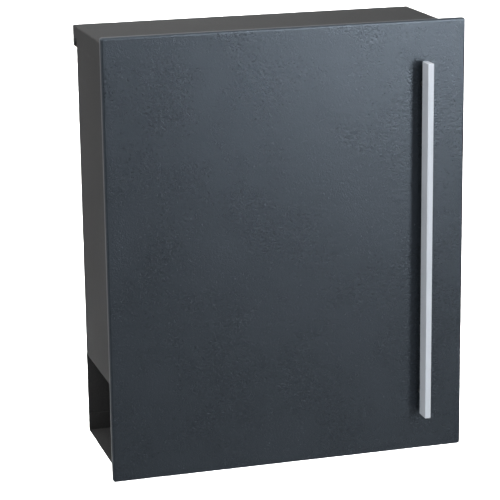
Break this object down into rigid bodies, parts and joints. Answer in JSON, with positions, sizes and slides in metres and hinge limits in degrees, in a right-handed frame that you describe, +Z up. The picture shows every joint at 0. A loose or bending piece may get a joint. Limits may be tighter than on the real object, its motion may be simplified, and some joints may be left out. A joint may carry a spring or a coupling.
{
  "type": "wall mounted mailbox",
  "caption": "Tall rectangular sheet steel mailbox with a rear hinged lid, side hinged front door with bar handle, letter compartment and open ended newspaper compartment below.",
  "frame": {"origin": "centre of the four wall holes, on the plane of the wall", "axes": "+Z up, +Y into the wall, the door faces -Y, +X to the right seen from the front"},
  "size_m": [0.348, 0.1736, 0.42],
  "materials": {
    "cabinet_paint": "satin dark grey powder coat",
    "door_paint": "fine textured anthracite powder coat",
    "lid_paint": "satin dark grey powder coat",
    "handle_steel": "brushed",
    "zinc_steel": "zinc plated, satin",
    "rivet_metal": "plain",
    "black_pin": "blackened",
    "lock_metal": "polished",
    "rubber": "matt",
    "nylon": "matt"
  },
  "bodies": {
    "cabinet": {"back_panel": "cabinet_paint", "side_panel_left": "cabinet_paint", "side_panel_right": "cabinet_paint", "letter_floor": "cabinet_paint", "newspaper_tray": "cabinet_paint", "top_front_rail": "cabinet_paint", "wall_spacers": "rubber", "lid_pin_left": "black_pin", "lid_pin_right": "black_pin", "lid_pin_clips": "zinc_steel", "lid_washers": "nylon", "lid_bumpers": "rubber", "door_bumpers": "rubber", "lock_barrel": "lock_metal", "lock_nut": "zinc_steel", "rivets_back_seams": "rivet_metal", "rivets_floor_back": "rivet_metal", "rivets_floor_sides": "rivet_metal", "rivets_tray": "rivet_metal", "rivets_rail": "rivet_metal", "rivets_hinge_body": "rivet_metal", "hinge_leaf_body_upper": "zinc_steel", "hinge_leaf_body_lower": "zinc_steel", "hinge_pin_upper": "zinc_steel", "hinge_pin_lower": "zinc_steel"},
    "door": {"door_panel": "door_paint", "door_stiffener": "door_paint", "handle_bar": "handle_steel", "handle_posts": "handle_steel", "handle_backing_strip": "zinc_steel", "handle_screws": "zinc_steel", "handle_washers": "zinc_steel", "lock_strike": "zinc_steel", "rivets_hinge_door": "rivet_metal", "hinge_leaf_door_upper": "zinc_steel", "hinge_leaf_door_lower": "zinc_steel"},
    "lid": {"lid_cover": "lid_paint"},
    "lock_core": {"lock_plug": "lock_metal", "lock_cam": "zinc_steel", "cam_screw": "zinc_steel"}
  },
  "joints": [
    {"name": "door_hinge", "type": "hinge", "parent": "cabinet", "child": "door", "pos_m": [-0.17, -0.1418, 0], "axis": [0, 0, -1], "range_deg": [0, 110]},
    {"name": "lid_hinge", "type": "hinge", "parent": "cabinet", "child": "lid", "pos_m": [0, -0.021, 0.157], "axis": [-1, 0, 0], "range_deg": [0, 58]},
    {"name": "lock_turn", "type": "hinge", "parent": "cabinet", "child": "lock_core", "pos_m": [0.15, -0.122, 0.01], "axis": [-1, 0, 0], "range_deg": [0, 90]}
  ]
}
